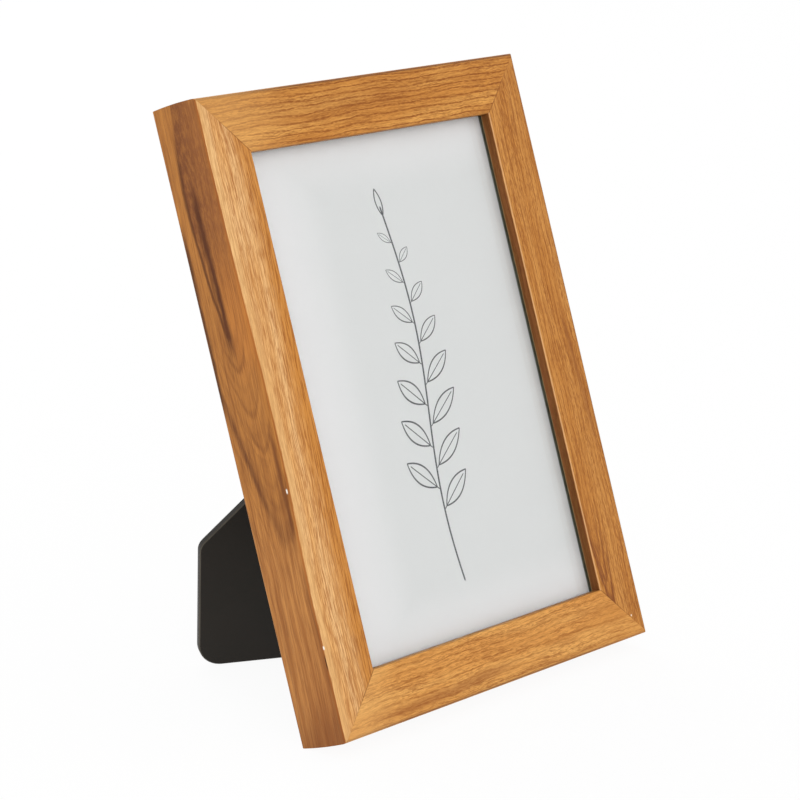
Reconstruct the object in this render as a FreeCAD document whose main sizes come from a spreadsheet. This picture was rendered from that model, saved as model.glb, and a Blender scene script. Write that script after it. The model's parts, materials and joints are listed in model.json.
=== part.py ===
import FreeCAD, Part
import os
import re

import Sketcher

# Easel back photo frame: four mitred mouldings round glass, picture and backing board,
# four turn buttons, and a strut on a self-stopping hinge that stands the frame up both ways.
#
# Every piece is drawn as the frame lies on its back: X across, Y up the frame, Z towards the viewer,
# with the mouldings' back faces at Z = 0. Its Placement then leans it back on the table at Z = 0.
# The hinge pieces are drawn about the pin: X along the pin, Y away from the strut's foot.

SIZES = (
    ("photo_width", 127, "the picture that the frame takes"),
    ("photo_height", 178, ""),
    ("rebate_room", 1, "free space round the picture, on each side"),
    ("back_land", 12, "wood between the rebate and the outer side"),
    ("screw_inset", 7.2, "from the outer side to the screws of the turn buttons"),
    ("lip_width", 7, "lip in front of the glass"),
    ("lip_depth", 4, ""),
    ("frame_depth", 20, ""),
    ("side_bow", 0.3, "how far the outer sides swell at half depth"),
    ("front_arris", 1.5, "rounding of the outer front edge"),
    ("lip_arris", 0.5, "rounding of the edge beside the glass"),
    ("back_arris", 1.1, "rounding of the outer back edge"),
    ("glass_thick", 2, ""),
    ("card_thick", 0.3, ""),
    ("board_thick", 3, ""),
    ("board_room", 0.5, "free space round the backing board, on each side"),
    ("pad_count", 3, "corrugated pads between picture and backing board"),
    ("nail_leg", 5, "corner nails, driven in across each mitre from behind"),
    ("nail_thick", 0.6, ""),
    ("nail_deep", 10, ""),
    ("nail_inset", 8.5, "outer sides to the bend of the nail"),
    ("end_button_right", 20, "top and bottom turn buttons right of the middle, clear of the folded strut"),
    ("button_hub", 5, "turn button: radius round its screw"),
    ("button_tip", 3.5, "radius at its free end"),
    ("button_reach", 12, "from one centre to the other"),
    ("button_thick", 1.2, ""),
    ("button_gap", 0.1, "under the button"),
    ("button_edge", 0.3, "bevel of its outer edge"),
    ("screw_radius", 1.2, ""),
    ("screw_length", 10, "in the wood"),
    ("screw_head", 2.7, "radius of the head"),
    ("screw_rise", 1.4, "height of the head"),
    ("recess_reach", 1.5, "cross recess: centre to the end of a slot"),
    ("recess_width", 0.8, ""),
    ("recess_depth", 0.9, ""),
    ("lean", 17.8, "degrees from upright"),
    ("strut_opening", 42.8, "degrees between the strut and the back"),
    ("hinge_turn", 45, "degrees of the pin from level, so that the strut serves both ways up"),
    ("hinge_drop", 17.1, "pin below the middle of the frame"),
    ("tip_inset", 15.7, "folded strut's tip inside the outer side"),
    ("strut_width", 67, ""),
    ("strut_thick", 3, ""),
    ("strut_gap", 0.4, "folded strut clear of the back"),
    ("strut_edge", 0.4, "bevel of the paper-wrapped edges"),
    ("tip_round", 8.5, ""),
    ("shoulder_round", 5, ""),
    ("top_round", 4, ""),
    ("sheet_thick", 0.8, "hinge leaves"),
    ("running_gap", 0.05, "between a turning piece and what it turns on"),
    ("barrel_length", 32, "five knuckles"),
    ("knuckle_gap", 0.2, ""),
    ("barrel_room", 0.4, "round the barrel"),
    ("curl_wrap", 255, "degrees that a knuckle is rolled round the pin"),
    ("leaf_width", 44, ""),
    ("leaf_round", 4, ""),
    ("board_leaf_reach", 18, "pin to the far edge"),
    ("strut_leaf_reach", 32, ""),
    ("strut_leaf_shoulder", 15, "pin to where the leaf starts to narrow"),
    ("strut_leaf_tip", 18, "width at its narrow end"),
    ("lug_width", 4.5, "stop lugs at the ends of the strut leaf"),
    ("stop_gap", 0.05, "between the lugs and the board leaf when open"),
    ("pin_head", 1.9, "radius of the peened ends"),
    ("pin_head_rise", 0.6, ""),
    ("pin_crown", 1.2, "radius of the flat on them"),
    ("rivet_radius", 1.4, ""),
    ("rivet_head", 2.8, "radius of the head"),
    ("rivet_rise", 0.9, ""),
    ("rivet_rim", 0.3, "height of the head's upright rim"),
    ("rivet_crown", 1.7, "radius of the flat on the head"),
    ("clinch_radius", 2.4, ""),
    ("clinch_thick", 0.7, ""),
    ("side_rivets", 14, "rivets to each side of the leaves' centre line"),
    ("board_rivets_out", 11, "pin to the board leaf's rivets"),
    ("strut_rivets_out", 9.5, "pin to the strut leaf's side rivets"),
    ("foot_rivet_out", 26, "pin to the strut leaf's third rivet"),
    ("cut_over", 2, "how far a cut runs past the solid"),
)

# What follows from the sizes, in the order in which one needs the other.
DERIVED = (
    ("rebate_width", "photo_width + 2 * rebate_room"),
    ("rebate_height", "photo_height + 2 * rebate_room"),
    ("outer_width", "rebate_width + 2 * back_land"),
    ("outer_height", "rebate_height + 2 * back_land"),
    ("face_width", "back_land + lip_width"),
    ("rebate_depth", "frame_depth - lip_depth"),
    ("pad_thick", "(rebate_depth - glass_thick - card_thick - board_thick) / pad_count"),
    ("half_depth", "frame_depth / 2"),
    ("bow_radius", "(half_depth ^ 2 + side_bow ^ 2) / (2 * side_bow)"),
    ("button_slant", "asin((button_hub - button_tip) / button_reach)"),
    ("button_low", "-(button_gap + button_thick)"),
    ("barrel_radius", "(strut_gap + strut_thick + sheet_thick) / 2"),
    ("bore_radius", "barrel_radius - sheet_thick"),
    ("pin_radius", "bore_radius - running_gap"),
    ("leaf_edge", "barrel_radius + barrel_room"),
    ("knuckle_step", "barrel_length / 5"),
    ("strut_face", "strut_thick - bore_radius"),
    # Unit vectors at rest: down the strut, along the pin and out of the strut's back face.
    ("strut_down", "cos(hinge_turn) * cos(lean) * cos(strut_opening) + sin(lean) * sin(strut_opening)"),
    ("strut_back", "cos(lean) * sin(strut_opening) - cos(hinge_turn) * sin(lean) * cos(strut_opening)"),
    ("pin_down", "sin(hinge_turn) * cos(lean)"),
    ("pin_back", "-sin(hinge_turn) * sin(lean)"),
    ("face_up", "cos(hinge_turn) * cos(lean) * sin(strut_opening) - sin(lean) * cos(strut_opening)"),
    ("face_back", "cos(lean) * cos(strut_opening) + cos(hinge_turn) * sin(lean) * sin(strut_opening)"),
    ("foot_half_angle", "atan(strut_down / pin_down)"),
    # The outer back edge, rounded, is what the frame stands on.
    ("bow_centre", "bow_radius - side_bow"),
    ("back_round_in", "bow_centre - sqrt((bow_radius - back_arris) ^ 2 - (half_depth - back_arris) ^ 2)"),
    ("front_round_in", "bow_centre - sqrt((bow_radius - front_arris) ^ 2 - (half_depth - front_arris) ^ 2)"),
    ("table_level", "back_round_in * cos(lean) + back_arris * sin(lean) - back_arris"),
    # The pin's height, and the strut that reaches from it down to the table.
    ("hinge_up", "outer_height / 2 - hinge_drop"),
    ("pin_level", "hinge_up * cos(lean) - barrel_radius * sin(lean)"),
    ("foot_lift", "strut_edge * min(face_up; sqrt(1 - face_up ^ 2))"),
    ("strut_length", "(pin_level - table_level - strut_face * face_up + foot_lift) / strut_down"),
    ("hinge_right", "strut_length * sin(hinge_turn) + tip_inset - outer_width / 2"),
    ("shoulder_down", "strut_length - strut_width / 2 / tan(foot_half_angle)"),
    # How far the rounded front edge and the rounded foot reach, to centre the object over the origin.
    ("front_reach", "front_round_in * sin(lean) - (frame_depth - front_arris) * cos(lean) - front_arris"),
    ("foot_round_down", "strut_length - tip_round / sin(foot_half_angle)"),
    ("pin_reach", "hinge_up * sin(lean) + barrel_radius * cos(lean)"),
    ("tip_slope", "sqrt(strut_back ^ 2 + pin_back ^ 2)"),
    ("tip_reach", "foot_round_down * strut_back + tip_round * tip_slope"),
    ("edge_loss", "strut_edge * min(face_back; tip_slope)"),
    ("foot_reach", "pin_reach + bore_radius * face_back + tip_reach - edge_loss"),
    # Where the lugs' ends meet the board leaf when the strut is open.
    ("lug_inner", "(bore_radius * cos(strut_opening) + bore_radius - stop_gap) / sin(strut_opening)"),
    ("lug_outer", "(barrel_radius * cos(strut_opening) + bore_radius - stop_gap) / sin(strut_opening)"),
)

doc = FreeCAD.newDocument("EaselBackFrame")
sheet = doc.addObject("Spreadsheet::Sheet", "Sizes")
for row, (alias, value, note) in enumerate(SIZES, start=1):
    sheet.set(f"A{row}", alias.replace("_", " "))
    sheet.set(f"B{row}", str(value))
    sheet.setAlias(f"B{row}", alias)
    sheet.set(f"C{row}", note)
doc.recompute()

OWNERS = {alias: "Sizes" for alias, _, _ in SIZES}


def sized(text):
    """The expression with each size's name led by the object that holds it."""
    return re.sub(r"[a-z_]+", lambda word: ".".join(filter(None, (OWNERS.get(word[0]), word[0]))), str(text))


derived = doc.addObject("App::VarSet", "Derived")
for alias, text in DERIVED:
    derived.addProperty("App::PropertyFloat", alias, "Derived", "")
    derived.setExpression(alias, sized(text))
    OWNERS[alias] = "Derived"
doc.recompute()


def worth(text):
    """The number that an expression in sizes stands for now."""
    return float(sheet.evalExpression(sized(text)))


def frame_of(name, within, x="0", y="0", z="0", axis=(0, 0, 1), angle="0"):
    """A named place that pieces are drawn in, moved and turned within another one."""
    holder = doc.addObject("App::Placement", name)
    base = "create(<<vector>>; {}; {}; {})".format(*(sized(text) for text in (x, y, z)))
    about = "create(<<vector>>; {}; {}; {})".format(*axis)
    local = f"create(<<placement>>; {base}; create(<<rotation>>; {about}; {sized(angle)}))"
    holder.setExpression("Placement", f"{within}.Placement * {local}" if within else local)
    return name


# The middle of the outer bottom edge, leaned back on the table; the frame's centre; and the pin,
# with the strut as it folds flat and as it stands open.
STAND = frame_of("Stand", None, y="-(front_reach + foot_reach) / 2", z="-table_level",
                 axis=(1, 0, 0), angle="90 - lean")
CENTRE = frame_of("Centre", STAND, y="outer_height / 2")
HINGE = frame_of("HingeLine", STAND, x="hinge_right", y="hinge_up", z="-barrel_radius", angle="-hinge_turn")
OPEN = frame_of("OpenStrut", HINGE, axis=(1, 0, 0), angle="strut_opening")


def new_body(label, place):
    """An empty body for one piece, drawn in the named place."""
    body = doc.addObject("PartDesign::Body", "Body_" + label)
    body.Label = label
    body.setExpression("Placement", f"{place}.Placement")
    return body


def origin_plane(body, role):
    """One of the body's own three planes."""
    return next(item for item in body.Origin.OriginFeatures if item.Role == role)


def new_sketch(body, name, plane="XY_Plane", offset="0"):
    """A sketch on one of the body's planes, moved along its normal."""
    sketch = body.newObject("Sketcher::SketchObject", name)
    sketch.AttachmentSupport = (origin_plane(body, plane), "")
    sketch.MapMode = "FlatFace"
    if offset != "0":
        sketch.setExpression(".AttachmentOffset.Base.z", sized(offset))
    return sketch


def hold(sketch, kind, text, *where):
    """Adds one dimension and binds it to its expression."""
    index = sketch.addConstraint(Sketcher.Constraint(kind, *where, worth(text)))
    sketch.setExpression(f"Constraints[{index}]", sized(text))


def hold_point(sketch, edge, point, x, y):
    """Places one sketch point; a coordinate of zero puts it on the axis."""
    for kind, text, axis in (("DistanceX", x, -2), ("DistanceY", y, -1)):
        if text == "0":
            sketch.addConstraint(Sketcher.Constraint("PointOnObject", edge, point, axis))
        else:
            hold(sketch, kind, text, -1, 1, edge, point)


def arc_between(start, end, radius, turn, long_way):
    """The arc from one point to another: turn is 1 counter-clockwise and -1 clockwise."""
    chord = end - start
    side = FreeCAD.Vector(-chord.y, chord.x, 0).normalize() * turn * (-1 if long_way else 1)
    centre = (start + end) / 2 + side * max(radius ** 2 - chord.Length ** 2 / 4, 0) ** 0.5
    first, last = (start, end) if turn > 0 else (end, start)
    east = FreeCAD.Vector(1, 0, 0)
    up = FreeCAD.Vector(0, 0, 1)
    angles = [east.getAngle(p - centre) * (1 if (p - centre).y >= 0 else -1) for p in (first, last)]
    return Part.ArcOfCircle(Part.Circle(centre, up, radius), *angles)


def outline(sketch, corners, arcs=None):
    """A closed outline through corners written in sizes.

    arcs maps the number of an edge to its radius, its turn and whether it goes the long way round."""
    arcs = arcs or {}
    points = [FreeCAD.Vector(worth(x), worth(y), 0) for x, y in corners]
    count = len(points)
    ends = []
    for number, start in enumerate(points):
        end = points[(number + 1) % count]
        if number in arcs:
            radius, turn, long_way = arcs[number]
            edge = sketch.addGeometry(arc_between(start, end, worth(radius), turn, long_way))
            ends.append((edge, 1, 2) if turn > 0 else (edge, 2, 1))
        else:
            ends.append((sketch.addGeometry(Part.LineSegment(start, end)), 1, 2))
    for number, (edge, first, last) in enumerate(ends):
        following, next_first, _ = ends[(number + 1) % count]
        sketch.addConstraint(Sketcher.Constraint("Coincident", edge, last, following, next_first))
    for (edge, first, _), (x, y) in zip(ends, corners):
        hold_point(sketch, edge, first, x, y)
    for number, (radius, _, _) in arcs.items():
        hold(sketch, "Radius", radius, ends[number][0])
    return sketch


def circles(sketch, places, radius):
    """Equal circles at places written in sizes."""
    for x, y in places:
        centre = FreeCAD.Vector(worth(x), worth(y), 0)
        edge = sketch.addGeometry(Part.Circle(centre, FreeCAD.Vector(0, 0, 1), worth(radius)))
        hold_point(sketch, edge, 3, x, y)
        hold(sketch, "Radius", radius, edge)
    return sketch


def pad(body, sketch, length, **settings):
    """Extrudes a sketch along its plane's normal."""
    feature = body.newObject("PartDesign::Pad", sketch.Name + "_pad")
    feature.Profile = sketch
    feature.setExpression("Length", sized(length))
    for key, value in settings.items():
        setattr(feature, key, value)
    doc.recompute()
    return feature


def pocket(body, sketch, depth):
    """Cuts a sketch into the solid along its plane's normal, and checks that something went."""
    before = body.Shape.Volume
    feature = body.newObject("PartDesign::Pocket", sketch.Name + "_cut")
    feature.Profile = sketch
    feature.Reversed = True
    feature.setExpression("Length", sized(depth))
    doc.recompute()
    if not body.Shape.Volume < before:
        raise RuntimeError(f"{body.Label}: {sketch.Name} cuts nothing")
    return feature


def revolve(body, sketch, axis):
    """Turns a sketch once round one of its lines."""
    feature = body.newObject("PartDesign::Revolution", sketch.Name + "_turn")
    feature.Profile = sketch
    feature.ReferenceAxis = (sketch, [axis])
    doc.recompute()
    return feature


def mirror(body, features, *planes):
    """Repeats features on the other side of one plane, or of two planes in turn."""
    steps = []
    for plane in planes:
        step = body.newObject("PartDesign::Mirrored", f"{features[0].Name}_{plane[:2]}")
        step.MirrorPlane = (origin_plane(body, plane), [""])
        steps.append(step)
    if len(steps) == 1:
        steps[0].Originals = features
        body.Tip = steps[0]
    else:
        both = body.newObject("PartDesign::MultiTransform", features[0].Name + "_both")
        both.Originals = features
        both.Transformations = steps
        body.Tip = both
    doc.recompute()
    return body.Tip


def dress(body, kind, measure, size, chosen):
    """Works the edges of the body's last feature that the test picks out."""
    base = body.Tip
    names = [f"Edge{n}" for n, edge in enumerate(base.Shape.Edges, start=1) if chosen(edge)]
    if not names:
        raise RuntimeError(f"{body.Label}: no edge for the {kind.lower()}")
    feature = body.newObject(f"PartDesign::{kind}", f"{base.Name}_{kind.lower()}")
    feature.Base = (base, names)
    feature.setExpression(measure, sized(size))
    doc.recompute()
    return feature


def fillet(body, radius, chosen):
    """Rounds the chosen edges."""
    return dress(body, "Fillet", "Radius", radius, chosen)


def chamfer(body, size, chosen):
    """Bevels the chosen edges."""
    return dress(body, "Chamfer", "Size", size, chosen)


NEAR = 1e-4


def upright_at(*places):
    """Picks the edges along Z that stand at the given places."""
    spots = [(worth(x), worth(y)) for x, y in places]

    def chosen(edge):
        box = edge.BoundBox
        thin = box.XLength < NEAR and box.YLength < NEAR
        return thin and any(abs(box.XMin - x) < NEAR and abs(box.YMin - y) < NEAR for x, y in spots)

    return chosen


def level_at(*heights):
    """Picks the edges that lie level at the given heights."""
    levels = [worth(z) for z in heights]
    return lambda edge: any(
        abs(edge.BoundBox.ZMin - z) < NEAR and abs(edge.BoundBox.ZMax - z) < NEAR for z in levels
    )


def lengthwise_at(y, z):
    """Picks the edges along X at one place of the section."""
    across, up = worth(y), worth(z)

    def chosen(edge):
        box = edge.BoundBox
        thin = box.YLength < NEAR and box.ZLength < NEAR
        return thin and abs(box.YMin - across) < NEAR and abs(box.ZMin - up) < NEAR

    return chosen


def nail_outline(corner_x, corner_y, sign_x, sign_y):
    """The bent corner nail in plan, with its legs along the two mouldings."""
    bend = ("nail_inset", "nail_inset - nail_thick", "nail_inset - nail_leg")
    steps = ((0, 0), (2, 0), (2, 1), (1, 1), (1, 2), (0, 2))
    return [(f"{corner_x} {sign_x} ({bend[a]})", f"{corner_y} {sign_y} ({bend[b]})") for a, b in steps]


def moulding(label, length, x, y, angle, screw="0"):
    """One mitred side of the frame, drawn along X with its outer side at Y = 0."""
    body = new_body(label, frame_of("Place_" + label, STAND, x=x, y=y, angle=angle))
    section = outline(
        new_sketch(body, label + "_section", "YZ_Plane"),
        [("0", "0"), ("back_land", "0"), ("back_land", "rebate_depth"), ("face_width", "rebate_depth"),
         ("face_width", "frame_depth"), ("0", "frame_depth")],
        {5: ("bow_radius", 1, False)},
    )
    pad(body, section, f"{length} + 2 * cut_over", Midplane=True)
    fillet(body, "front_arris", lengthwise_at("0", "frame_depth"))
    fillet(body, "lip_arris", lengthwise_at("face_width", "frame_depth"))
    fillet(body, "back_arris", lengthwise_at("0", "0"))
    end = f"{length} / 2"
    mitre = outline(
        new_sketch(body, label + "_mitre"),
        [(f"{end} + cut_over", "-cut_over"), (f"{end} + 2 * cut_over", "-cut_over"),
         (f"{end} + 2 * cut_over", "face_width + cut_over"),
         (f"{end} - face_width - cut_over", "face_width + cut_over")],
    )
    mirror(body, [pocket(body, mitre, "frame_depth + cut_over")], "YZ_Plane")
    slot = outline(new_sketch(body, label + "_nail_slot"), nail_outline(end, "0", "-", "+"))
    mirror(body, [pocket(body, slot, "nail_deep")], "YZ_Plane")
    pilot = new_sketch(body, label + "_pilot")
    circles(pilot, [(screw, "screw_inset")], "screw_radius + running_gap")
    pocket(body, pilot, "screw_length + screw_radius")
    return body


def slab(label, room, base, thick):
    """A flat sheet in the rebate, smaller than the rebate by the same room all round."""
    body = new_body(label, CENTRE)
    right = f"rebate_width / 2 - {room}"
    top = f"rebate_height / 2 - {room}"
    left, low = f"-({right})", f"-({top})"
    sketch = new_sketch(body, label + "_outline", offset=base)
    outline(sketch, [(left, low), (right, low), (right, top), (left, top)])
    pad(body, sketch, thick)
    return body


def on_board(across, out):
    """A place given about the pin, as the backing board's own sketch needs it."""
    x = f"hinge_right + ({across}) * cos(hinge_turn) + ({out}) * sin(hinge_turn)"
    y = f"-hinge_drop - ({across}) * sin(hinge_turn) + ({out}) * cos(hinge_turn)"
    return x, y


BOARD_RIVETS = (("side_rivets", "board_rivets_out"), ("-side_rivets", "board_rivets_out"))
STRUT_RIVETS = (("side_rivets", "-strut_rivets_out"), ("-side_rivets", "-strut_rivets_out"),
                ("0", "-foot_rivet_out"))


def backing_board():
    """The board that closes the back, with holes for the hinge's rivets sunk on its inner side."""
    body = slab("backing_board", "board_room", "0", "board_thick")
    places = [on_board(across, out) for across, out in BOARD_RIVETS]
    holes = circles(new_sketch(body, "board_holes"), places, "rivet_radius + running_gap")
    pocket(body, holes, "board_thick + cut_over")
    sinks = new_sketch(body, "board_sinks", offset="board_thick - clinch_thick")
    pocket(body, circles(sinks, places, "clinch_radius + running_gap"), "clinch_thick + cut_over")
    return body


def corner_nails():
    """The four bent nails across the mitres."""
    body = new_body("corner_nails", CENTRE)
    plan = nail_outline("outer_width / 2", "-outer_height / 2", "-", "+")
    nail = pad(body, outline(new_sketch(body, "nail_plan"), plan), "nail_deep")
    mirror(body, [nail], "YZ_Plane", "XZ_Plane")
    return body


def turn_button(label, x, y, angle):
    """A pressed steel button, drawn about its screw with its free end along Y."""
    body = new_body(label, frame_of("Place_" + label, STAND, x=x, y=y, angle=angle))
    sides = [
        ("{}{} * cos(button_slant)".format(sign, radius), "{}{} * sin(button_slant)".format(along, radius))
        for sign, radius, along in (("", "button_hub", ""), ("", "button_tip", "button_reach + "),
                                    ("-", "button_tip", "button_reach + "), ("-", "button_hub", ""))
    ]
    shape = outline(new_sketch(body, label + "_outline", offset="button_low"), sides,
                    {1: ("button_tip", 1, False), 3: ("button_hub", 1, True)})
    pad(body, shape, "button_thick")
    chamfer(body, "button_edge", level_at("button_low"))
    hole = circles(new_sketch(body, label + "_hole", offset="button_low - cut_over"), [("0", "0")],
                   "screw_radius + running_gap")
    pocket(body, hole, "button_thick + 2 * cut_over")
    return body


def turned_profile(body, name, plane, offset, centre, corners, arcs=None):
    """A sketch of half a section beside an upright axis, turned into a solid."""
    sketch = new_sketch(body, name, plane, offset)
    outline(sketch, [(f"{centre} + {r}" if r != "0" else centre, z) for r, z in corners], arcs)
    x = worth(centre)
    low, high = FreeCAD.Vector(x, 0, 0), FreeCAD.Vector(x, 1, 0)
    axis = sketch.addGeometry(Part.LineSegment(low, high), True)
    hold_point(sketch, axis, 1, centre, "0")
    sketch.addConstraint(Sketcher.Constraint("Vertical", axis))
    hold(sketch, "DistanceY", "cut_over", axis, 1, axis, 2)
    return revolve(body, sketch, "Axis0")


def cross_outline(x, y):
    """The cross recess of a screw centred at a place, as one outline."""
    reach, half = "recess_reach", "recess_width / 2"
    quarter = ((reach, half), (half, half), (half, reach))
    turns = (("{0}", "{1}"), ("-({1})", "{0}"), ("-({0})", "-({1})"), ("{1}", "-({0})"))
    return [
        (f"{x} + {across.format(a, b)}", f"{y} + {along.format(a, b)}")
        for across, along in turns for a, b in quarter
    ]


def button_screws():
    """The four round-headed screws that the turn buttons turn on, each with a cross recess."""
    body = new_body("button_screws", CENTRE)
    under_head = "button_low - running_gap"
    section = [("0", f"{under_head} - screw_rise"), ("screw_head", under_head), ("screw_radius", under_head),
               ("screw_radius", "screw_length"), ("0", "screw_length + screw_radius")]
    dome = {0: ("(screw_head ^ 2 + screw_rise ^ 2) / (2 * screw_rise)", 1, False)}
    end, side = "(outer_height / 2 - screw_inset)", "(outer_width / 2 - screw_inset)"
    for name, plane, offset, centre, place, across in (
        ("end_screw", "YZ_Plane", "end_button_right", end, ("end_button_right", end), "XZ_Plane"),
        ("side_screw", "XZ_Plane", "0", side, (side, "0"), "YZ_Plane"),
    ):
        screw = turned_profile(body, name, plane, offset, centre, section, dome)
        cross = new_sketch(body, name + "_recess", offset=f"{under_head} - screw_rise - cut_over")
        recess = pocket(body, outline(cross, cross_outline(*place)), "recess_depth + cut_over")
        mirror(body, [screw, recess], across)
    return body


def rivets(label, place, places, head, end):
    """Rivets through a leaf: pan heads at one height and clinched ends at another."""
    body = new_body(label, place)
    section = [("0", f"{head} - rivet_rise"), ("rivet_crown", f"{head} - rivet_rise"),
               ("rivet_head", f"{head} - rivet_rim"), ("rivet_head", head), ("rivet_radius", head),
               ("rivet_radius", f"{end} - clinch_thick"), ("clinch_radius", f"{end} - clinch_thick"),
               ("clinch_radius", end), ("0", end)]
    for number, (across, out) in enumerate(places):
        turned_profile(body, f"{label}_{number}", "XZ_Plane", f"-({out})", across, section)
    return body


def knuckle(body, name, start, width, side):
    """One rolled knuckle with the strip that joins it to its leaf; side is 1 for the board's leaf."""
    sign, turned = ("", "") if side > 0 else ("-", "180 + ")
    end = f"({turned}90 + curl_wrap)"
    corners = [
        (f"{sign}leaf_edge", f"{sign}barrel_radius"), ("0", f"{sign}barrel_radius"),
        (f"barrel_radius * cos{end}", f"barrel_radius * sin{end}"),
        (f"bore_radius * cos{end}", f"bore_radius * sin{end}"),
        ("0", f"{sign}bore_radius"), (f"{sign}leaf_edge", f"{sign}bore_radius"),
    ]
    arcs = {1: ("barrel_radius", 1, True), 3: ("bore_radius", -1, True)}
    return pad(body, outline(new_sketch(body, name, "YZ_Plane", start), corners, arcs), width)


def board_leaf():
    """The hinge leaf on the backing board, with the two outer knuckles and the middle one."""
    body = new_body("hinge_board_leaf", HINGE)
    right, out = "leaf_width / 2", "board_leaf_reach"
    left = f"-{right}"
    plate = outline(
        new_sketch(body, "board_plate", offset="bore_radius"),
        [(left, "leaf_edge"), (right, "leaf_edge"), (right, f"{out} - leaf_round"),
         (f"{right} - leaf_round", out), (f"leaf_round - {right}", out), (left, f"{out} - leaf_round")],
        {2: ("leaf_round", 1, False), 4: ("leaf_round", 1, False)},
    )
    pad(body, plate, "sheet_thick")
    holes = circles(new_sketch(body, "board_leaf_holes"), BOARD_RIVETS, "rivet_radius + running_gap")
    pocket(body, holes, "barrel_radius + cut_over")
    knuckle(body, "board_knuckle_mid", "-knuckle_step / 2", "knuckle_step", 1)
    outer = knuckle(body, "board_knuckle_end", "1.5 * knuckle_step", "knuckle_step", 1)
    mirror(body, [outer], "YZ_Plane")
    return body


def strut_leaf():
    """The leaf on the strut: two knuckles, and a lug at each end that stops the opening strut."""
    body = new_body("hinge_strut_leaf", OPEN)
    right, tip = "leaf_width / 2", "strut_leaf_tip / 2"
    left = f"-{right}"
    corners = [(left, "-leaf_edge"), (left, "-strut_leaf_shoulder"), (f"-{tip}", "-strut_leaf_reach"),
               (tip, "-strut_leaf_reach"), (right, "-strut_leaf_shoulder"), (right, "-leaf_edge")]
    pad(body, outline(new_sketch(body, "strut_plate", offset="-barrel_radius"), corners), "sheet_thick")
    fillet(body, "leaf_round", upright_at(*corners[1:5]))
    holes = new_sketch(body, "strut_leaf_holes", offset="-barrel_radius - cut_over")
    pocket(body, circles(holes, STRUT_RIVETS, "rivet_radius + running_gap"), "sheet_thick + 2 * cut_over")
    inner = knuckle(body, "strut_knuckle", "knuckle_step / 2 + knuckle_gap",
                    "knuckle_step - 2 * knuckle_gap", -1)
    mirror(body, [inner], "YZ_Plane")
    lug = outline(
        new_sketch(body, "stop_lug", "YZ_Plane", "leaf_width / 2 - lug_width"),
        [("-leaf_edge", "-barrel_radius"), ("lug_outer", "-barrel_radius"), ("lug_inner", "-bore_radius"),
         ("-leaf_edge", "-bore_radius")],
    )
    mirror(body, [pad(body, lug, "lug_width")], "YZ_Plane")
    return body


def hinge_pin():
    """The pin with its two peened ends."""
    body = new_body("hinge_pin", HINGE)
    end = "barrel_length / 2 + knuckle_gap"
    tip = f"({end} + pin_head_rise)"
    corners = [(f"-{tip}", "0"), (tip, "0"), (tip, "pin_crown"), (end, "pin_head"), (end, "pin_radius"),
               (f"-({end})", "pin_radius"), (f"-({end})", "pin_head"), (f"-{tip}", "pin_crown")]
    revolve(body, outline(new_sketch(body, "pin_section"), corners), "H_Axis")
    return body


def strut():
    """The board that stands the frame up: parallel sides and a pointed foot whose two edges lie flat."""
    body = new_body("strut", OPEN)
    half = "strut_width / 2"
    corners = [(half, "-leaf_edge"), (f"-{half}", "-leaf_edge"), (f"-{half}", "-shoulder_down"),
               ("0", "-strut_length"), (half, "-shoulder_down")]
    back, front = "-bore_radius", "strut_face"
    pad(body, outline(new_sketch(body, "strut_outline", offset=back), corners), "strut_thick")
    fillet(body, "tip_round", upright_at(corners[3]))
    fillet(body, "shoulder_round", upright_at(corners[2], corners[4]))
    fillet(body, "top_round", upright_at(corners[0], corners[1]))
    chamfer(body, "strut_edge", level_at(back, front))
    holes = new_sketch(body, "strut_holes", offset=f"{back} - cut_over")
    pocket(body, circles(holes, STRUT_RIVETS, "rivet_radius + running_gap"), "strut_thick + 2 * cut_over")
    sinks = new_sketch(body, "strut_sinks", offset="strut_face - clinch_thick")
    pocket(body, circles(sinks, STRUT_RIVETS, "clinch_radius + running_gap"), "clinch_thick + cut_over")
    return body


pieces = [
    moulding("bottom_rail", "outer_width", "0", "0", "0", "end_button_right"),
    moulding("right_stile", "outer_height", "outer_width / 2", "outer_height / 2", "90"),
    moulding("top_rail", "outer_width", "0", "outer_height", "180", "-end_button_right"),
    moulding("left_stile", "outer_height", "-outer_width / 2", "outer_height / 2", "-90"),
    corner_nails(),
    slab("glass_pane", "rebate_room", "rebate_depth - glass_thick", "glass_thick"),
    slab("picture_card", "rebate_room", "rebate_depth - glass_thick - card_thick", "card_thick"),
]
for number in range(int(worth("pad_count"))):
    base = f"board_thick + {number} * pad_thick"
    pieces.append(slab(f"filler_pad_{number + 1}", "rebate_room", base, "pad_thick"))
pieces += [
    backing_board(),
    turn_button("turn_button_bottom", "end_button_right", "screw_inset", "0"),
    turn_button("turn_button_right", "outer_width / 2 - screw_inset", "outer_height / 2", "90"),
    turn_button("turn_button_top", "end_button_right", "outer_height - screw_inset", "180"),
    turn_button("turn_button_left", "screw_inset - outer_width / 2", "outer_height / 2", "-90"),
    button_screws(),
    board_leaf(),
    hinge_pin(),
    rivets("board_leaf_rivets", HINGE, BOARD_RIVETS, "bore_radius", "barrel_radius + board_thick"),
    strut_leaf(),
    rivets("strut_leaf_rivets", OPEN, STRUT_RIVETS, "-barrel_radius", "strut_face"),
    strut(),
]
doc.recompute()

for item in doc.Objects:
    if any(word in item.State for word in ("Invalid", "Error")):
        raise RuntimeError(f"{item.Label} failed: {item.State}")
for piece in pieces:
    if piece.Shape.isNull() or not piece.Shape.isValid() or not piece.Shape.Solids:
        raise RuntimeError(f"{piece.Label} has no valid solid")

os.makedirs("parts", exist_ok=True)
for piece in pieces:
    piece.Shape.exportStep(f"parts/{piece.Label}.step")

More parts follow.
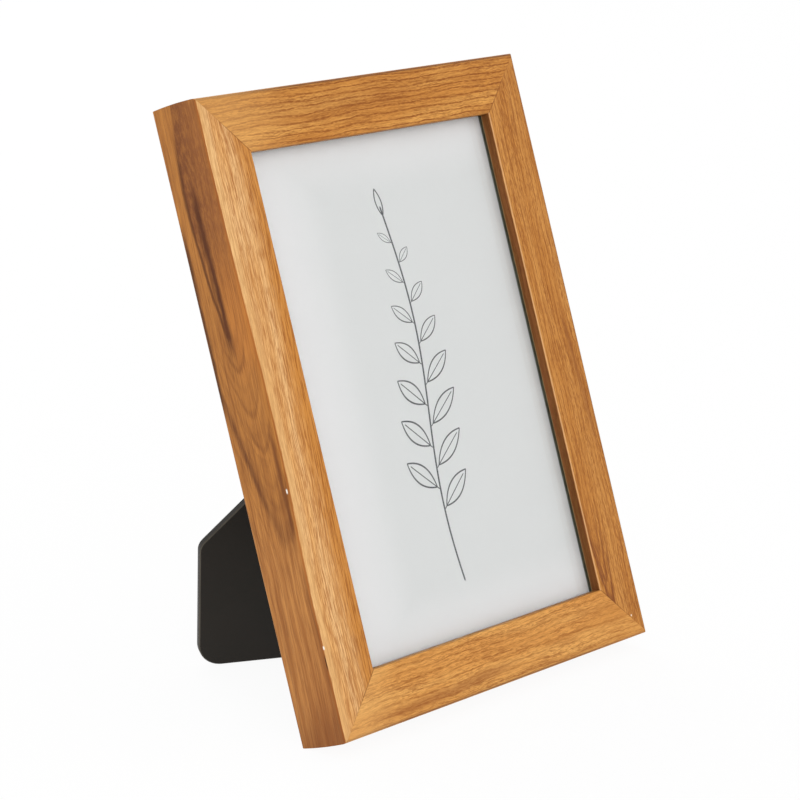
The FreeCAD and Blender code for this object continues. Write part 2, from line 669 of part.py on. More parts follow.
whole = Part.makeCompound([piece.Shape for piece in pieces]).optimalBoundingBox(False)
print(f"{len(pieces)} pieces, {whole.XLength:.2f} x {whole.YLength:.2f} x {whole.ZLength:.2f}")
print(f"middle {whole.Center.x:.3f}, {whole.Center.y:.3f}, lowest {whole.ZMin:.3f}")
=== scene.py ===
import json
import math
import bmesh
import bpy
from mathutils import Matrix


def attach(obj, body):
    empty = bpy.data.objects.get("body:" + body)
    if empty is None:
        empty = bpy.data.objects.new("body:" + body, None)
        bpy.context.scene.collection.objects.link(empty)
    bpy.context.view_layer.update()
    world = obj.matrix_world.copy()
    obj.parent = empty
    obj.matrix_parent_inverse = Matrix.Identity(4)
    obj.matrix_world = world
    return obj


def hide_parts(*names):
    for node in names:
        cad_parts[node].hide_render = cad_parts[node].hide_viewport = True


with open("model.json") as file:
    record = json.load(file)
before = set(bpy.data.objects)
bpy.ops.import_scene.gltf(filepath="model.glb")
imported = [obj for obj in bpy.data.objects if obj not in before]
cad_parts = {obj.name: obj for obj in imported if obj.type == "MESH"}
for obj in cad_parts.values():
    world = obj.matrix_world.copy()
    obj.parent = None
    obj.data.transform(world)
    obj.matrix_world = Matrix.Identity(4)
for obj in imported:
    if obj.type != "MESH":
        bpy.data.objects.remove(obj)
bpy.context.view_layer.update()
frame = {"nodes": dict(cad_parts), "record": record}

# Where things are: the frame's own plane, in millimetres from the middle of its front
mounts = {mount["name"]: mount for mount in frame["record"]["mounts"]}
outward = mounts["front_face"]["axis"]
front = [1000 * value for value in mounts["front_face"]["pos_m"]]
seat = [1000 * value for value in mounts["picture_seat"]["pos_m"]]
seat_depth = sum((a - b) * c for a, b, c in zip(front, seat, outward))
centre = [a + seat_depth * c for a, c in zip(seat, outward)]
tilt = math.atan2(-outward[1], outward[2])
half_width, half_height = 76.5, 102
face, lip_depth, foil_lap = 19, 4, 5.3


def rgb(red, green, blue):
    """An sRGB colour, 0 to 255, as Blender's linear colour."""
    share = [value / 255 for value in (red, green, blue)]
    return tuple(s / 12.92 if s <= 0.04045 else ((s + 0.055) / 1.055) ** 2.4 for s in share) + (1,)


class Wire:
    """A value on its way through a material. Python's own signs build its Math nodes."""

    def __init__(self, tree, socket):
        self.tree, self.socket = tree, socket

    def __add__(self, other):
        return self.tree.math("ADD", self, other)

    def __sub__(self, other):
        return self.tree.math("SUBTRACT", self, other)

    def __mul__(self, other):
        return self.tree.math("MULTIPLY", self, other)

    def __truediv__(self, other):
        return self.tree.math("DIVIDE", self, other)

    def __rsub__(self, other):
        return self.tree.math("SUBTRACT", other, self)

    def __neg__(self):
        return self * -1

    def __abs__(self):
        return self.tree.math("ABSOLUTE", self)

    __radd__ = __add__
    __rmul__ = __mul__


class Tree:
    """A material, with short names for the nodes that it is made of."""

    def __init__(self, name):
        self.material = bpy.data.materials.new(name)
        self.material.use_nodes = True
        self.nodes = self.material.node_tree.nodes
        self.links = self.material.node_tree.links
        self.nodes.clear()
        self.coordinates = self.nodes.new("ShaderNodeTexCoord")

    def plug(self, socket, value):
        if isinstance(value, Wire):
            self.links.new(value.socket, socket)
        else:
            socket.default_value = value

    def node(self, kind, inputs, output=0, **settings):
        made = self.nodes.new("ShaderNode" + kind)
        for key, value in settings.items():
            setattr(made, key, value)
        for key, value in inputs.items():
            self.plug(made.inputs[key], value)
        return Wire(self, made.outputs[output])

    def math(self, operation, *values):
        return self.node("Math", dict(enumerate(values)), operation=operation)

    def low(self, *values):
        return self.math("MINIMUM", *values)

    def high(self, *values):
        return self.math("MAXIMUM", *values)

    def ramp(self, value, start, end, low=0.0, high=1.0):
        inputs = {"Value": value, "From Min": start, "From Max": end, "To Min": low, "To Max": high}
        return self.node("MapRange", inputs, interpolation_type="SMOOTHSTEP")

    def between(self, value, start, end, soft):
        rise = self.ramp(value, start - soft, start + soft)
        return rise * self.ramp(value, end - soft, end + soft, 1.0, 0.0)

    def stroke(self, distance, width, soft=0.6):
        return self.ramp(abs(distance), width * (1 - soft) / 2, width * (1 + soft) / 2, 1.0, 0.0)

    def mix(self, share, first, second):
        return self.node("Mix", {0: share, 6: first, 7: second}, output=2, data_type="RGBA")

    def vector(self, x, y, z):
        return self.node("CombineXYZ", {0: x, 1: y, 2: z})

    def split(self, vector):
        made = self.nodes.new("ShaderNodeSeparateXYZ")
        self.links.new(vector.socket, made.inputs[0])
        return [Wire(self, output) for output in made.outputs]

    def noise(self, vector, detail=2.0, roughness=0.5, scale=1.0):
        inputs = {"Vector": vector, "Scale": scale, "Detail": detail, "Roughness": roughness}
        return self.node("TexNoise", inputs)

    def local(self):
        """Millimetres in the frame's plane: across, up and out of the front."""
        turned = [centre[0],
                  math.cos(tilt) * centre[1] + math.sin(tilt) * centre[2],
                  math.cos(tilt) * centre[2] - math.sin(tilt) * centre[1]]
        inputs = {"Vector": Wire(self, self.coordinates.outputs["Object"]), "Location": [-t for t in turned],
                  "Rotation": (-tilt, 0, 0), "Scale": (1000, 1000, 1000)}
        return self.split(self.node("Mapping", inputs, vector_type="POINT"))

    def millimetres(self):
        inputs = {0: Wire(self, self.coordinates.outputs["Object"]), "Scale": 1000}
        return self.node("VectorMath", inputs, operation="SCALE")

    def finish(self, colour, height=None, depth=0.00002, **inputs):
        """The Principled shader with this colour, a relief and its other values."""
        names = {"roughness": "Roughness", "metallic": "Metallic", "specular": "Specular IOR Level",
                 "ior": "IOR", "transmission": "Transmission Weight"}
        values = {names[key]: value for key, value in inputs.items()}
        values["Base Color"] = colour
        if height is not None:
            bump = {"Height": height, "Distance": depth, "Strength": 1.0}
            values["Normal"] = self.node("Bump", bump)
        shader = self.node("BsdfPrincipled", values)
        self.node_out(shader)
        return self.material

    def node_out(self, shader):
        output = self.nodes.new("ShaderNodeOutputMaterial")
        self.links.new(shader.socket, output.inputs["Surface"])


# The wood-effect foil: one material to a moulding, with the grain along it. Millimetres run along the
# moulding (u), across its face from the outer edge or down its outer side (v), and back from its front (d)
def wood(name, seed, pale, warm, dark, looks, figure):
    """The foil of one moulding: its grain, its own figure, its cut ends, its lip and the bare core behind."""
    t = Tree("wood_wrap_" + name)
    x, y, z = t.local()
    d = z * -1
    along_stile = name.endswith("stile")
    u = half_height - y if along_stile else x + half_width
    run = 2 * half_height if along_stile else 2 * half_width
    outer = {"left_stile": x + half_width, "right_stile": half_width - x,
             "top_rail": half_height - y, "bottom_rail": y + half_height}[name]
    inner_half = t.ramp(outer, face / 2 - 0.1, face / 2 + 0.1)
    v = outer - d + inner_half * (d * 2)

    # slow tone, wavering streaks, the grain's fine lines, hairs and short dark pores
    bend = t.noise(t.vector(u / 38, v / 16, seed + 0.5), 1.0) - 0.5
    ripple = t.noise(t.vector(u / 4.2, v / 2.4, seed + 1.5), 2.0) - 0.5
    across = v + u * looks["slant"] + bend * 3.0 + ripple * looks["wave"]
    tone = t.noise(t.vector(u / 62, across / 6.0, seed), 2.0, 0.55)
    streak = t.noise(t.vector(u / 46, across / 1.7, seed + 3.1), 3.0, 0.62)
    line = t.noise(t.vector(u / looks["length"], across / 0.5, seed + 5.3), 4.0, 0.62)
    hair = t.noise(t.vector(u / (4.5 * looks["stretch"]), across / 0.26, seed + 6.7), 2.0, 0.6)
    pore = t.noise(t.vector(u / (1.9 * looks["stretch"]), across / 0.36, seed + 9.2), 1.0)
    patch = t.noise(t.vector(u / 26, across / 3.6, seed + 12.4), 2.0)
    pores = t.ramp(pore, 0.5, 0.62) * t.ramp(patch, 0.34, 0.6, looks["even"], 1.0)
    colour = t.mix(t.ramp(tone, 0.36, 0.66), warm, pale)
    colour = t.mix(t.ramp(streak, 0.48, 0.72) * looks["streaks"], colour, dark)
    lines = t.ramp(line, 0.5, 0.62) * t.ramp(patch, 0.3, 0.62, looks["even"], 1.0)
    colour = t.mix(lines * looks["lines"], colour, dark)
    wander = t.noise(t.vector(u / 24, across / 5.0, seed + 15.1), 2.0)
    ring = t.math("SINE", (v + bend * 3.0 + ripple * 0.5) * looks["pitch"] + wander * 9.0)
    ring = t.ramp(ring, 0.5, 0.98) * t.ramp(pore, 0.34, 0.54, 0.4, 1.0)
    colour = t.mix(ring * looks["rings"], colour, dark)
    colour = t.mix(t.ramp(line, 0.46, 0.3) * looks["sheen"], colour, looks["glint"])
    colour = t.mix(pores * looks["pores"], colour, dark)
    colour = t.mix(t.ramp(hair, 0.44, 0.6) * looks["hairs"], colour, dark)
    # painted shade: a dark line and a slight darkening along the outer front edge, where the rounded edge
    # turns from the light
    rim = t.stroke(v - 0.1, 0.9, 0.9) * looks["rim"] + t.ramp(abs(v), 3.0, 0.0) * looks["rim"] * 0.15
    colour = t.mix(rim, colour, rgb(104, 60, 28))
    grain = dict(t=t, u=u, v=v, bend=bend, ripple=ripple, streak=streak, line=line, hair=hair)
    colour = figure(colour, grain)

    # the mitres' joints, and the walls of the sight opening, with painted shade on them and a painted
    # highlight along the lip's rounded edge
    end = t.low(u, run - u) - outer
    joint = t.ramp(end, 0.05, 0.36, 1.0, 0.0) * t.ramp(outer, 4.0, 13.0, 0.1, 0.7)
    joint = joint * t.ramp(d, 0.4, 1.2, 1.0, 0.35)
    colour = t.mix(joint * 0.85, colour, rgb(112, 58, 20))
    # painted shade: the walls of the sight opening are darkened by each moulding's share, most on the right
    # stile
    inside = t.ramp(outer, face - 0.45, face - 0.15) * t.ramp(d, 0.35, 0.75)
    shade = t.mix(t.ramp(streak, 0.35, 0.65), rgb(92, 50, 24), rgb(124, 72, 42))
    colour = t.mix(inside * looks["wall_shade"], colour, shade)
    # painted highlight: a pale line along the lip's rounded front edge
    lip_highlight = t.ramp(outer, face - 0.4, face - 0.2) * t.ramp(d, 0.03, 0.08) * t.ramp(d, 0.5, 0.3)
    colour = t.mix(lip_highlight * looks["lip_highlight"], colour, rgb(244, 194, 140))
    foot = inside * t.ramp(d, lip_depth - 0.38, lip_depth - 0.26)
    colour = t.mix(foot * 0.6, colour, rgb(150, 138, 98))

    # the fibreboard core, bare in the rebate and on the back inside the foil's lap
    lap = outer + t.noise(t.vector(u / 9, 0.0, seed + 20), 2.0) * 0.8
    bare = t.ramp(d, lip_depth - 0.07, lip_depth - 0.03) * t.ramp(lap, foil_lap, foil_lap + 0.15)
    fibre = t.noise(t.vector(x, y, z), 4.0, 0.7, 2.2)
    board = t.mix(t.ramp(fibre, 0.35, 0.7), rgb(168, 134, 96), rgb(138, 104, 70))
    seam = t.ramp(end, 0.03, 0.22, 1.0, 0.0)
    colour = t.mix(bare, colour, t.mix(seam * 0.8, board, rgb(74, 52, 32)))
    relief = (hair * 0.3 - pores * 0.8 - lines * 0.4) * (1.0 - bare) + fibre * bare * 2.5
    rough = t.ramp(streak, 0.3, 0.8, 0.46, 0.58) + bare * 0.32
    return t.finish(colour, relief, 0.00003, roughness=rough, specular=0.12)


def left_stile_grain(colour, g):
    """The tall figure on the outer side, whose points hang downwards, and a painted highlight along the front
    edge. Its places are millimetres down the stile (u) and back from the front edge (side)."""
    t, u, v = g["t"], g["u"], g["v"]
    side = v * -1
    brown, deep_brown = rgb(112, 64, 34), rgb(82, 44, 26)
    over = t.ramp(u, 30.0, 105.0, 0.5, 1.7) * t.ramp(u, 160.0, 112.0)
    on_side = t.ramp(side + over, 0.0, 0.5)
    feather = (t.noise(t.vector(u / 9, v / 0.5, 31.0), 2.0, 0.6) - 0.5)
    s = side + g["bend"] * 1.4 + g["ripple"] * 0.9
    axis = t.low(9.0 - 0.071 * (u - 77.0), 9.0 - 0.026 * (u - 77.0))

    def point(place, depth, steep=6.5, blunt=9.0):
        away = s - depth
        reach = t.math("SQRT", away * away + blunt * blunt) - blunt
        return u + reach * steep - place + feather * 4.5

    base = t.mix(t.ramp(g["streak"], 0.34, 0.68), rgb(194, 130, 64), rgb(172, 112, 56))
    lower = t.mix(t.ramp(g["streak"], 0.34, 0.68), rgb(198, 136, 74), rgb(168, 108, 56))
    base = t.mix(t.ramp(u, 118.0, 150.0), base, lower)
    base = t.mix(t.ramp(u, 160.0, 203.0) * t.ramp(side, 20.0, 2.0) * 0.4, base, rgb(146, 84, 44))
    base = t.mix(t.ramp(u + feather * 6, 188.0, 204.0) * 0.4, base, rgb(116, 66, 36))
    arris = t.ramp(side + feather * 2, 3.4, 0.6) * t.ramp(u, 140.0, 168.0)
    base = t.mix(arris * 0.4, base, rgb(112, 62, 32))
    glow = t.between(u, 48.0, 84.0, 10.0) * t.ramp(side, 10.0, 7.0)
    base = t.mix(glow * 0.6, base, rgb(198, 126, 60))
    rings = t.noise(t.vector(point(0.0, axis) / 6.5, side / 24, 4.4), 3.0, 0.6)
    rings = t.ramp(rings, 0.5, 0.7) * t.ramp(u, 70.0, 90.0) * t.ramp(u, 160.0, 132.0)
    base = t.mix(rings * 0.35, base, brown)
    broken = t.ramp(g["hair"], 0.36, 0.6, 0.55, 1.0) * t.ramp(g["line"], 0.38, 0.6, 0.7, 1.0)
    first = 14.1 - (u - 33.0) * (u - 33.0) * 0.0026
    band = t.ramp(s - first, -0.5, 0.3, 1.0, 0.0) * t.ramp(u + feather * 20, 32.0, 74.0, 1.0, 0.0)
    mottle = t.noise(t.vector(u / 2.6, side / 0.9, 7.7), 3.0, 0.65)
    band = band * t.ramp(side + u * 0.1 + feather * 3, 1.2, 5.0, 0.75, 1.0)
    band = band * t.ramp(mottle, 0.35, 0.6, 0.6, 1.0)
    band_colour = t.mix(t.ramp(s, 2.0, 11.0), rgb(148, 92, 52), rgb(122, 72, 42))
    base = t.mix(band * 0.92, base, band_colour)
    thin = t.stroke(s - first + feather * 0.8, 1.1, 0.8) * t.between(u + feather * 20, 14.0, 76.0, 6.0)
    base = t.mix(thin * 0.8, base, deep_brown)
    thick = t.stroke(s - axis + feather * 1.2, 2.2, 0.8) * t.between(u + feather * 20, 29.0, 78.0, 5.0)
    base = t.mix(thick * t.ramp(g["hair"], 0.3, 0.55, 0.8, 1.0), base, deep_brown)
    thread = t.stroke(s - axis - 1.7 + feather, 0.6, 0.8) * t.between(u + feather * 20, 40.0, 80.0, 6.0)
    base = t.mix(thread * 0.5, base, deep_brown)
    points = ((77.5, 9.0, 4.5, 0.3), (84.4, 8.2, 2.2, 0.55), (91.0, 7.6, 2.0, 0.2),
              (98.9, 7.0, 2.2, 0.5), (110.3, 5.6, 2.4, 0.6), (122.0, 5.2, 2.4, 0.2))
    for place, depth, width, strength in points:
        reach = t.ramp(abs(s - depth), 3.0, 6.5, 1.0, 0.25)
        limb = point(place, depth)
        trail = t.ramp(limb, -11.0, 0.0) * t.ramp(limb, 0.0, 1.5, 1.0, 0.0)
        base = t.mix(trail * strength * 0.2 * reach, base, brown)
        base = t.mix(t.stroke(limb, width, 0.85) * reach * strength * broken, base, brown)
    big = point(139.0, 4.6)
    limb = t.stroke(big, 9.0, 0.9) * t.ramp(u, 84.0, 94.0) * t.ramp(side, 0.2, 1.2)
    base = t.mix(limb * broken * t.ramp(u, 142.0, 118.0, 0.45, 0.9), base, rgb(86, 46, 28))
    second = t.stroke(big + 9.0 + feather * 8.0, 4.0, 0.9) * t.ramp(u, 100.0, 112.0) * t.ramp(u, 136.0, 126.0)
    base = t.mix(second * 0.45 * broken, base, brown)
    trail = t.ramp(big, -26.0, 0.0) * t.ramp(big, 0.0, 2.0, 1.0, 0.0) * t.ramp(u, 88.0, 104.0)
    base = t.mix(trail * 0.22, base, brown)
    # painted shade: a dark line along the back edge of the side, where it turns away from the light
    edge = t.stroke(s - 19.0 + feather * 0.8, 1.5, 0.8) * t.between(u, 40.0, 96.0, 7.0)
    base = t.mix(edge * 0.85, base, rgb(66, 38, 24))
    beside = t.stroke(s - 1.3 + feather, 1.6, 0.8) * t.between(u, 106.0, 138.0, 5.0)
    base = t.mix(beside * 0.8, base, brown)
    base = t.mix(t.ramp(g["line"], 0.48, 0.66) * 0.34, base, brown)
    base = t.mix(t.ramp(g["hair"], 0.42, 0.68) * 0.32, base, brown)
    inner = t.mix(t.ramp(g["line"], 0.44, 0.62), rgb(204, 134, 56), rgb(162, 96, 34))
    colour = t.mix(t.ramp(v + g["ripple"] * 3 + g["bend"] * 5, 8.5, 16.5) * 0.85, colour, inner)
    # painted highlight: a pale band on the front face along its rounded outer edge, where it catches the
    # light
    arris_highlight = t.ramp(v - over, -0.2, 0.2) * t.ramp(v - over + feather * 1.5, 4.2, 1.4) * 0.5
    colour = t.mix(arris_highlight, colour, rgb(232, 184, 122))
    colour = t.mix(on_side, colour, base)
    # painted shade: a darker line on the side just behind the rounded front edge
    rim = t.stroke(side + over - 0.6, 0.6)
    colour = t.mix(rim * 0.5, colour, rgb(160, 88, 36))
    chip, scratch = rgb(250, 246, 236), rgb(70, 40, 24)
    marks = ((124.1, 0.1, 1.3, 0.55, chip), (173.7, 0.1, 1.0, 0.6, chip), (178.4, 0.6, 4.2, 0.45, scratch))
    for place, away, length, breadth, tint in marks:
        spot = t.stroke((u - place) / length, 1.0) * t.stroke((side - away) / breadth, 1.0)
        colour = t.mix(spot, colour, tint)
    return colour


def right_stile_grain(colour, g):
    """A dark run halfway down, narrow points beside the lip near the foot, and one pale chip."""
    t, u, v = g["t"], g["u"], g["v"]
    run = t.stroke(v - (5.5 - (u - 97.0) * 0.056) + g["bend"] * 2, 1.8, 0.9) * t.between(u, 92.0, 134.0, 8.0)
    colour = t.mix(run * 0.6, colour, rgb(150, 90, 42))
    points = ((192.0, 14.6, 6.0, 0.95), (181.0, 15.2, 5.0, 0.8), (172.0, 15.6, 4.0, 0.6))
    for place, depth, width, strength in points:
        away = v - depth
        reach = t.math("SQRT", away * away + 3.0) - 1.73
        limb = u + reach * 9.0 - place + g["ripple"] * 9 + (g["hair"] - 0.5) * 14
        drawn = t.stroke(limb, width, 0.9) * t.ramp(u, 148.0, 172.0) * t.ramp(away, -5.5, -2.0)
        colour = t.mix(drawn * strength, colour, rgb(128, 70, 34))
    speck = t.stroke(u - 196.7, 0.6) * t.stroke(v - 6.3, 0.5)
    return t.mix(speck, colour, rgb(250, 236, 214))


def bottom_rail_grain(colour, g):
    """A dark run on the left half, and ends that are paler on the left and warmer on the right."""
    t, u, v = g["t"], g["u"], g["v"]
    run = t.stroke(v - (3.6 + (u - 28.0) * 0.028) + g["bend"] * 2, 2.6, 0.9) * t.between(u, 22.0, 80.0, 12.0)
    colour = t.mix(t.ramp(u, 34.0, 8.0) * 0.35, colour, rgb(240, 184, 112))
    colour = t.mix(t.ramp(u, 112.0, 146.0) * 0.45, colour, rgb(204, 136, 62))
    return t.mix(run * 0.6, colour, rgb(156, 92, 42))


def top_rail_grain(colour, g):
    """A slow brown cloud, a paler left end, and painted shade that browns the lip and the face beneath it."""
    t, u, v = g["t"], g["u"], g["v"]
    # painted shade: the top rail's lip and its downward face are browned
    underside_shade = t.ramp(v, face - 1.4, face - 0.2)
    cloud = t.stroke(v - 8.5 + g["bend"] * 6, 7.0, 0.9) * t.between(u, 24.0, 95.0, 16.0)
    colour = t.mix(cloud * 0.25, colour, rgb(150, 88, 40))
    colour = t.mix(t.ramp(u, 46.0, 10.0) * 0.4, colour, rgb(232, 176, 106))
    return t.mix(underside_shade * 0.25, colour, rgb(150, 88, 38))


plain = dict(stretch=1.0, slant=0.0, length=8.0, streaks=0.3, hairs=0.3, sheen=0.3, pores=0.42, lip_highlight=0.0)
# Each moulding's colours are partly its own foil and partly painted light: the left stile's are paler for a
# broad sheen, the right stile's darker
foils = {
    "top_rail": wood(
        "top_rail", 1.7, rgb(226, 162, 82), rgb(208, 140, 64), rgb(138, 74, 24),
        dict(plain, wall_shade=0.1, even=0.35, wave=0.9, lines=0.6, pitch=3.0, rings=0.8, rim=0.7,
             glint=rgb(230, 168, 86)), top_rail_grain),
    "bottom_rail": wood(
        "bottom_rail", 5.3, rgb(240, 180, 100), rgb(226, 160, 82), rgb(148, 82, 30),
        dict(plain, wall_shade=0.3, even=0.4, wave=0.8, lines=0.5, pitch=2.8, rings=0.45, sheen=0.35, rim=0.6,
             glint=rgb(232, 172, 94)), bottom_rail_grain),
    "left_stile": wood(
        "left_stile", 8.9, rgb(250, 202, 140), rgb(234, 176, 108), rgb(164, 96, 38),
        dict(plain, wall_shade=0.3, stretch=2.0, even=0.8, slant=0.035, wave=0.35, length=9.0, streaks=0.2,
             lines=0.55, pitch=4.0, rings=0.3, hairs=0.45, sheen=0.35, pores=0.5, rim=0.0, lip_highlight=0.1,
             glint=rgb(242, 198, 138)), left_stile_grain),
    "right_stile": wood(
        "right_stile", 13.1, rgb(214, 150, 76), rgb(200, 134, 62), rgb(136, 72, 24),
        dict(plain, wall_shade=0.8, even=0.5, wave=0.7, streaks=0.35, lines=0.45, pitch=3.0, rings=0.5, rim=0.6,
             lip_highlight=0.6, glint=rgb(216, 152, 78)), right_stile_grain),
}


def glass():
    """Clear glass with a low index, which mirrors next to nothing, as in the photograph."""
    t = Tree("clear_pane")
    return t.finish(rgb(255, 255, 255), roughness=0.0, transmission=1.0, ior=1.31)


def card():
    """Pale grey card with a sprig drawn in thin lines: leaves by turns on both sides of a swaying stem."""
    t = Tree("picture_card")
    x, y, z = t.local()
    grain = t.noise(t.vector(x, y, z), 3.0, 0.6, 3.0)
    # painted light: the paper is whiter towards its left, top and bottom edges, to lift the shade of the lip
    # there
    painted_edge_light = t.high(t.ramp(-x, 22.0, 48.0), t.ramp(abs(y), 62.0, 82.0) * 0.9)
    paper = t.mix(painted_edge_light, rgb(243, 245, 244), rgb(255, 255, 255))
    paper = t.mix(t.ramp(grain, 0.3, 0.8) * 0.05, paper, rgb(200, 200, 200))
    spacing, stalk, half_leaf, fatness = 13.6, 2.2, 7.9, 2.9
    sway = t.math("SINE", (y + 10.0) / 21.0) * 3.2
    across = x - sway
    side = t.math("SIGN", across)
    up = y + side * 3.4
    cell = (up / spacing - t.math("FLOOR", up / spacing)) * spacing
    size = t.ramp(y, 62.0, -10.0, 0.35, 1.0)
    lean_x, lean_y = 0.78, 0.6258
    away = abs(across)
    along = (away * lean_x + (cell - stalk) * lean_y) / size
    off = ((cell - stalk) * lean_x - away * lean_y) / size
    middle = (along - 9.6) / half_leaf
    width = fatness * (1.0 - middle * middle)
    inside = t.ramp(width, -0.2, 0.0)
    outline = t.stroke(abs(off) - width, 0.55, 0.4) * inside
    vein = t.stroke(off, 0.35, 0.4) * t.between(along, 0.4, 15.6, 0.4)
    tip = (y - 60.5) / 4.6
    top = t.stroke(away - 1.35 * (1.0 - tip * tip), 0.5, 0.4) * t.ramp(abs(tip), 1.05, 0.98)
    leaves = t.high(outline, vein) * t.between(up - cell, -48.0, 52.0, 0.5)
    stem = t.stroke(across, 0.7, 0.4) * t.between(y, -66.0, 59.0, 0.5)
    drawn = t.high(t.high(leaves, top), stem) * t.ramp(grain, 0.2, 0.5, 0.8, 1.0)
    colour = t.mix(drawn, paper, rgb(70, 72, 76))
    # painted shadow: the card beneath the lip, at the sides and the bottom, is dark olive, as the lip's
    # shadow seen through the green of the glass
    lip_shadow = t.high(t.ramp(abs(x), 57.3, 57.9), t.ramp(-y, 82.8, 83.4) * 0.6)
    colour = t.mix(lip_shadow * 0.9, colour, rgb(78, 82, 56))
    return t.finish(colour, grain, 0.00001, roughness=0.75, specular=0.2)


def corrugated():
    """Brown corrugated card, with its flutes upright."""
    t = Tree("corrugated_card")
    x, y, z = t.local()
    flutes = t.math("SINE", x * 2.1)
    fibre = t.noise(t.vector(x, y / 4, z), 4.0, 0.7, 1.4)
    colour = t.mix(t.ramp(fibre, 0.35, 0.7), rgb(190, 152, 106), rgb(158, 122, 82))
    colour = t.mix(t.ramp(flutes, 0.2, 1.0) * 0.25, colour, rgb(140, 106, 70))
    return t.finish(colour, flutes * 0.6 + fibre, 0.0001, roughness=0.85, specular=0.2)


def black_paper(name, edges):
    """Fibreboard wrapped in black paper: fibres, a little mottling, and a patchy painted highlight on the
    chamfers of the edges.
    """
    t = Tree(name)
    place = t.millimetres()
    fibre = t.noise(place, 4.0, 0.7, 1.6)
    cloud = t.noise(place, 2.0, 0.5, 0.06)
    colour = t.mix(t.ramp(cloud, 0.3, 0.7), rgb(33, 29, 23), rgb(36, 31, 25))
    colour = t.mix(t.ramp(fibre, 0.55, 0.8) * 0.3, colour, rgb(62, 58, 52))
    if edges:
        normal = t.split(Wire(t, t.coordinates.outputs["Normal"]))
        slope = abs(t.node("VectorMath", {0: t.vector(*normal), 1: edges}, output=1, operation="DOT_PRODUCT"))
        # painted highlight: faces sloped between the board's plane and its edges are painted paler, in
        # patches
        edge_highlight = t.between(slope, 0.4, 0.92, 0.08) * t.ramp(cloud, 0.3, 0.6, 0.35, 0.9)
        colour = t.mix(edge_highlight, colour, rgb(86, 80, 70))
    rough = t.ramp(fibre, 0.3, 0.7, 0.42, 0.56)
    return t.finish(colour, fibre, 0.00002, roughness=rough, specular=0.22)


def steel(name, light, dark, rough, grain, metallic=1.0, specular=0.5, spread=0.14):
    """Brushed or painted steel. The spread is how much its roughness wanders."""
    t = Tree(name)
    place = t.millimetres()
    brush = t.noise(place, 3.0, 0.6, grain)
    cloud = t.noise(place, 2.0, 0.5, 0.35)
    colour = t.mix(t.ramp(brush, 0.3, 0.7), light, dark)
    colour = t.mix(t.ramp(cloud, 0.5, 0.75) * 0.25, colour, dark)
    gloss = t.ramp(cloud, 0.3, 0.7, rough, rough + spread)
    return t.finish(colour, brush, 0.0000006, roughness=gloss, metallic=metallic, specular=specular)


# The strut's own plane: its chamfers lie between it and the edges
widest = max(frame["nodes"]["strut"].data.polygons, key=lambda polygon: polygon.area)
strut_face = tuple(widest.normal)

zinc = steel("zinc_steel", rgb(196, 197, 196), rgb(160, 161, 160), 0.32, 5.0)
finishes = {
    "glass_pane": glass(),
    "picture_card": card(),
    "backing_board": black_paper("black_board", None),
    "strut": black_paper("black_board_strut", strut_face),
    "hinge_board_leaf": steel("black_steel", rgb(30, 30, 30), rgb(25, 25, 25), 0.46, 7.0, 0.0, 0.4, 0.02),
    "corner_nails": steel("bare_steel", rgb(150, 150, 148), rgb(112, 112, 110), 0.4, 6.0),
    "filler_pad_1": corrugated(),
}
finishes["hinge_strut_leaf"] = finishes["hinge_board_leaf"]
finishes["filler_pad_2"] = finishes["filler_pad_3"] = finishes["filler_pad_1"]
for node in ("button_screws", "hinge_pin", "board_leaf_rivets", "strut_leaf_rivets", "turn_button_bottom",
             "turn_button_right", "turn_button_top", "turn_button_left"):
    finishes[node] = zinc
finishes.update(foils)
for node, material in finishes.items():
    for slot in frame["nodes"][node].material_slots:
        slot.material = material


# The pane, with seamed edges: it stands a hair clear of the lip and of the card, as real glass does
def to_row(x, y, z):
    """A point of the frame's plane, in millimetres, as the row's metres."""
    up, out = math.cos(tilt) * y - math.sin(tilt) * z, math.sin(tilt) * y + math.cos(tilt) * z
    return ((centre[0] + x) / 1000, (centre[1] + up) / 1000, (centre[2] + out) / 1000)


def to_plane(point):
    """A point of the row, in metres, as millimetres in the frame's plane."""
    y, z = 1000 * point[1] - centre[1], 1000 * point[2] - centre[2]
    return (1000 * point[0] - centre[0], math.cos(tilt) * y + math.sin(tilt) * z,
            math.cos(tilt) * z - math.sin(tilt) * y)


corners = [to_plane(vertex.co) for vertex in frame["nodes"]["glass_pane"].data.vertices]
first, last = [min(axis) for axis in zip(*corners)], [max(axis) for axis in zip(*corners)]
gap, seam = 0.04, 0.0003
first[2], last[2] = first[2] + gap, last[2] - gap
shape = bmesh.new()
bmesh.ops.create_cube(shape, size=1)
for vertex in shape.verts:
    sides = [a if share < 0 else b for share, a, b in zip(vertex.co, first, last)]
    vertex.co = to_row(*sides)
bmesh.ops.bevel(shape, geom=shape.edges[:], offset=seam, segments=1, affect="EDGES")
pane_mesh = bpy.data.meshes.new("pane")
shape.to_mesh(pane_mesh)
shape.free()
pane = bpy.data.objects.new("pane", pane_mesh)
bpy.context.scene.collection.objects.link(pane)
pane_mesh.materials.append(finishes["glass_pane"])
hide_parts("glass_pane")
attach(pane, "frame")


# The studio: a white floor that keeps a faint shadow, a white world and two broad soft lamps
def floor_material():
    """White paint, which is nearly all white light where it is seen straight, mirrored or through glass."""
    t = Tree("white_floor")
    paths = t.nodes.new("ShaderNodeLightPath")
    camera_ray, glossy_ray, through_ray = (Wire(t, paths.outputs["Is " + kind + " Ray"])
                                           for kind in ("Camera", "Glossy", "Transmission"))
    seen = t.low(camera_ray + glossy_ray + through_ray, 1.0)
    painted = t.node("BsdfDiffuse", {"Color": rgb(252, 252, 252)})
    glow = t.node("Emission", {"Color": (1, 1, 1, 1), "Strength": 1.0})
    t.node_out(t.node("MixShader", {0: seen * 0.94, 1: painted, 2: glow}))
    return t.material


bpy.ops.mesh.primitive_circle_add(vertices=96, radius=14, fill_type="NGON", location=(0, 0, 0))
floor = bpy.context.object
floor.name = "floor"
floor.data.materials.append(floor_material())

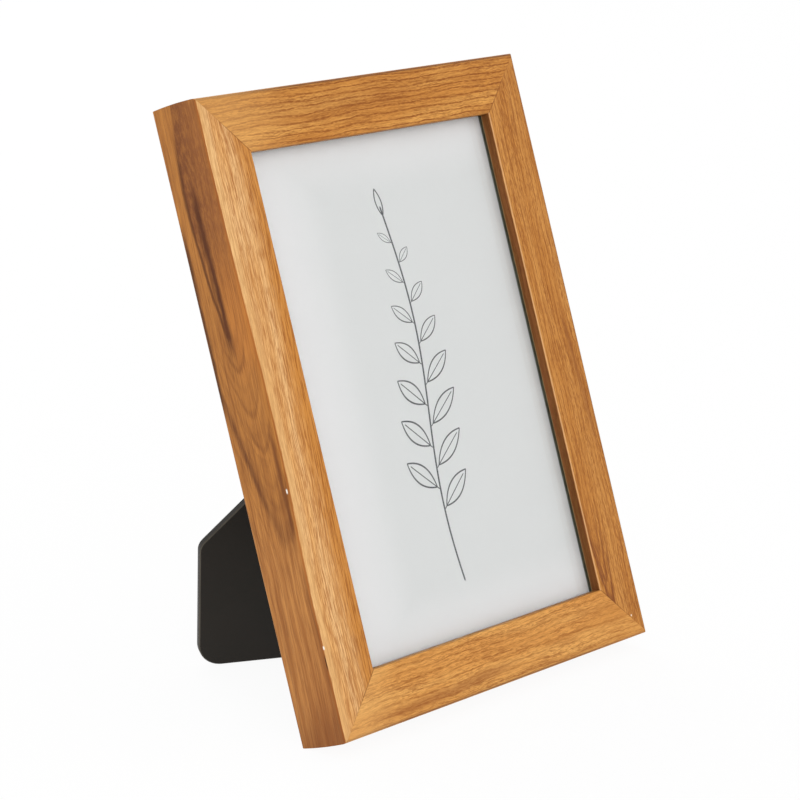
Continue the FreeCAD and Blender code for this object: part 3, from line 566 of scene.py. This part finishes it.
world = bpy.data.worlds.new("studio")
world.use_nodes = True
bpy.context.scene.world = world
tree = world.node_tree
tree.nodes.clear()
paths = tree.nodes.new("ShaderNodeLightPath")
seen = paths.outputs["Is Camera Ray"]
for kind in ("Is Glossy Ray", "Is Transmission Ray"):
    either = tree.nodes.new("ShaderNodeMath")
    either.operation = "MAXIMUM"
    tree.links.new(seen, either.inputs[0])
    tree.links.new(paths.outputs[kind], either.inputs[1])
    seen = either.outputs[0]
ambient = tree.nodes.new("ShaderNodeBackground")
ambient.inputs["Color"].default_value = (1, 1, 1, 1)
ambient.inputs["Strength"].default_value = 0.8
white = tree.nodes.new("ShaderNodeBackground")
white.inputs["Color"].default_value = (1, 1, 1, 1)
white.inputs["Strength"].default_value = 1.0
choice = tree.nodes.new("ShaderNodeMixShader")
tree.links.new(seen, choice.inputs[0])
tree.links.new(ambient.outputs[0], choice.inputs[1])
tree.links.new(white.outputs[0], choice.inputs[2])
result = tree.nodes.new("ShaderNodeOutputWorld")
tree.links.new(choice.outputs[0], result.inputs["Surface"])


def lamp(name, place, size, watts):
    """A round lamp, aimed at the middle of the frame."""
    target = (0, 0, 0.1)
    data = bpy.data.lights.new(name, "AREA")
    data.shape = "DISK"
    data.size = size
    data.energy = watts
    made = bpy.data.objects.new(name, data)
    bpy.context.scene.collection.objects.link(made)
    made.location = place
    reach = [b - a for a, b in zip(place, target)]
    across = math.hypot(reach[0], reach[1])
    made.rotation_euler = (math.atan2(across, -reach[2]), 0, math.atan2(reach[1], reach[0]) - math.pi / 2)
    made.visible_glossy = False


lamp("key", (-1.6, -1.7, 1.5), 1.8, 19)
lamp("rear", (0.8, 2.1, 1.7), 1.6, 14)

# The photograph's camera, with its focal length in pixels of the 800 x 800 picture
azimuth, elevation = math.radians(48.431), math.radians(13.257)
focal, picture_width, sensor_width = 3129.6, 800, 36
camera = bpy.data.objects.new("camera", bpy.data.cameras.new("camera"))
bpy.context.scene.collection.objects.link(camera)
camera.location = (-0.74993, -0.6705, 0.33025)
camera.rotation_euler = (math.pi / 2 - elevation, 0, -azimuth)
camera.data.sensor_width = sensor_width
camera.data.lens = focal * sensor_width / picture_width
camera.data.clip_start = 0.05
camera.data.clip_end = 100
bpy.context.scene.camera = camera
bpy.context.scene.view_settings.view_transform = "Standard"
